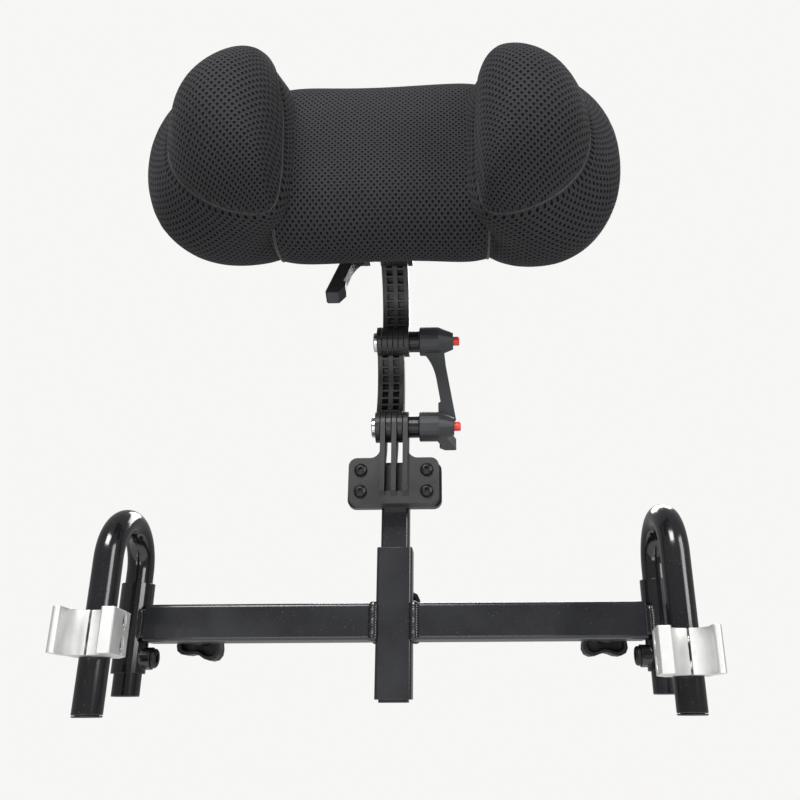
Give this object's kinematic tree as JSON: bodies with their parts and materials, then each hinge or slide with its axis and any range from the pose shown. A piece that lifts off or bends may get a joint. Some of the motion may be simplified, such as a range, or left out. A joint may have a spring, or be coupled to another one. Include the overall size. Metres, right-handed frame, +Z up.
{
  "type": "adjustable headrest attachment",
  "caption": "Headrest for a chair with round back posts: winged mesh pillow on jointed, lockable arms above a sliding square tube cross frame with U tubes and split post clamps.",
  "frame": {"origin": "midway between the axes of the two back posts, at the mean height of the clamps", "axes": "+X to the right seen by someone facing the pillow, +Y towards the rear of the chair, +Z up"},
  "size_m": [0.4002, 0.2468, 0.426],
  "materials": {
    "black_coat": "gloss powder coat",
    "black_nylon": "fine moulded grain",
    "lever_grey": "matt, fine grain",
    "aluminium": "bead blasted",
    "zinc": "bright zinc plate",
    "black_steel": "black oxide",
    "red_plastic": "moulded",
    "air_mesh": "spacer mesh with open diamond holes"
  },
  "bodies": {
    "frame": {"post_sleeve": "black_coat", "arm_tube_left": "black_coat", "arm_tube_right": "black_coat", "knob_boss_left": "black_coat", "knob_boss_right": "black_coat", "knob_boss_post": "black_coat"},
    "side_left": {"inner_arm_left": "black_coat", "side_sleeve_left": "black_coat", "lock_screw_left": "black_steel"},
    "u_left": {"u_tube_left": "black_coat", "leg_plug_left": "black_nylon"},
    "clamp_left": {"clamp_block_left": "aluminium", "clamp_hook_left": "aluminium", "clamp_bolt_left_lower": "zinc", "clamp_bolt_left_upper": "zinc"},
    "side_right": {"inner_arm_right": "black_coat", "side_sleeve_right": "black_coat", "lock_screw_right": "black_steel"},
    "u_right": {"u_tube_right": "black_coat", "leg_plug_right": "black_nylon"},
    "clamp_right": {"clamp_block_right": "aluminium", "clamp_hook_right": "aluminium", "clamp_bolt_right_lower": "zinc", "clamp_bolt_right_upper": "zinc"},
    "post": {"inner_post": "black_coat", "post_plate": "black_coat", "post_bracket": "black_nylon", "post_bolt_1": "black_steel", "post_bolt_2": "black_steel", "post_bolt_3": "black_steel", "post_bolt_4": "black_steel"},
    "lower_arm": {"lower_link": "black_nylon", "low_pivot_bolt": "zinc", "low_pivot_neck": "black_steel", "middle_pivot_bolt": "zinc", "middle_pivot_neck": "black_steel"},
    "upper_arm": {"upper_link": "black_nylon"},
    "pad": {"pad_bracket": "black_nylon", "pad_plate": "black_coat", "top_pivot_bolt": "zinc", "top_pivot_neck": "black_steel", "pad_bolt_1": "black_steel", "pad_bolt_2": "black_steel", "pad_bolt_3": "black_steel", "pad_bolt_4": "black_steel", "centre_pad": "air_mesh", "left_wing": "air_mesh", "right_wing": "air_mesh"},
    "low_lever": {"low_pivot_lever": "lever_grey", "low_pivot_spring": "zinc"},
    "low_button": {"low_pivot_button": "red_plastic"},
    "middle_lever": {"middle_pivot_lever": "lever_grey", "middle_pivot_spring": "zinc"},
    "middle_button": {"middle_pivot_button": "red_plastic"},
    "top_lever": {"top_pivot_lever": "lever_grey", "top_pivot_spring": "zinc"},
    "top_button": {"top_pivot_button": "red_plastic"},
    "knob_left": {"star_knob_left": "black_nylon"},
    "knob_right": {"star_knob_right": "black_nylon"},
    "knob_post": {"star_knob_post": "black_nylon"}
  },
  "joints": [
    {"name": "arm_slide_left", "type": "slide", "parent": "frame", "child": "side_left", "axis": [-1, 0, 0], "range_m": [0, 0.05]},
    {"name": "u_tube_swivel_left", "type": "hinge", "parent": "side_left", "child": "u_left", "pos_m": [-0.185, 0.09157, 0.0185], "axis": [0, 0, 1], "range_deg": [-30, 30]},
    {"name": "clamp_slide_left", "type": "slide", "parent": "u_left", "child": "clamp_left", "axis": [0, 0, 1], "range_m": [-0.035, 0.034]},
    {"name": "arm_slide_right", "type": "slide", "parent": "frame", "child": "side_right", "axis": [1, 0, 0], "range_m": [0, 0.05]},
    {"name": "u_tube_swivel_right", "type": "hinge", "parent": "side_right", "child": "u_right", "pos_m": [0.185, 0.09157, 0.0185], "axis": [0, 0, 1], "range_deg": [-30, 30]},
    {"name": "clamp_slide_right", "type": "slide", "parent": "u_right", "child": "clamp_right", "axis": [0, 0, 1], "range_m": [-0.022, 0.047]},
    {"name": "post_slide", "type": "slide", "parent": "frame", "child": "post", "axis": [0, 0, 1], "range_m": [-0.025, 0.04]},
    {"name": "low_pivot", "type": "hinge", "parent": "post", "child": "lower_arm", "pos_m": [0, 0.07047, 0.1564], "axis": [1, 0, 0], "range_deg": [-20, 45]},
    {"name": "middle_pivot", "type": "hinge", "parent": "lower_arm", "child": "upper_arm", "pos_m": [0, 0.07047, 0.2254], "axis": [1, 0, 0], "range_deg": [-35, 35]},
    {"name": "top_pivot", "type": "hinge", "parent": "upper_arm", "child": "pad", "pos_m": [0, 0.03702, 0.28575], "axis": [1, 0, 0], "range_deg": [-15, 25]},
    {"name": "low_lever_turn", "type": "hinge", "parent": "lower_arm", "child": "low_lever", "pos_m": [0, 0.07047, 0.1564], "axis": [1, 0, 0], "range_deg": [-30, 0]},
    {"name": "low_button_press", "type": "slide", "parent": "low_lever", "child": "low_button", "axis": [-1, 0, 0], "range_m": [0, 0.002], "stiffness_N_per_m": 300, "springref_m": -0.001},
    {"name": "middle_lever_turn", "type": "hinge", "parent": "lower_arm", "child": "middle_lever", "pos_m": [0, 0.07047, 0.2254], "axis": [1, 0, 0], "range_deg": [0, 100]},
    {"name": "middle_button_press", "type": "slide", "parent": "middle_lever", "child": "middle_button", "axis": [-1, 0, 0], "range_m": [0, 0.002], "stiffness_N_per_m": 300, "springref_m": -0.001},
    {"name": "top_lever_turn", "type": "hinge", "parent": "pad", "child": "top_lever", "pos_m": [0, 0.03702, 0.28575], "axis": [1, 0, 0], "range_deg": [0, 90]},
    {"name": "top_button_press", "type": "slide", "parent": "top_lever", "child": "top_button", "axis": [1, 0, 0], "range_m": [0, 0.002], "stiffness_N_per_m": 300, "springref_m": -0.001},
    {"name": "knob_turn_left", "type": "hinge", "parent": "frame", "child": "knob_left", "pos_m": [-0.145, 0.09157, 0.0135], "axis": [0, 1, 0], "continuous": true},
    {"name": "knob_turn_right", "type": "hinge", "parent": "frame", "child": "knob_right", "pos_m": [0.151, 0.09157, 0.0135], "axis": [0, 1, 0], "continuous": true},
    {"name": "knob_turn_post", "type": "hinge", "parent": "frame", "child": "knob_post", "pos_m": [0, 0.09157, 0.0275], "axis": [0, 1, 0], "continuous": true}
  ]
}
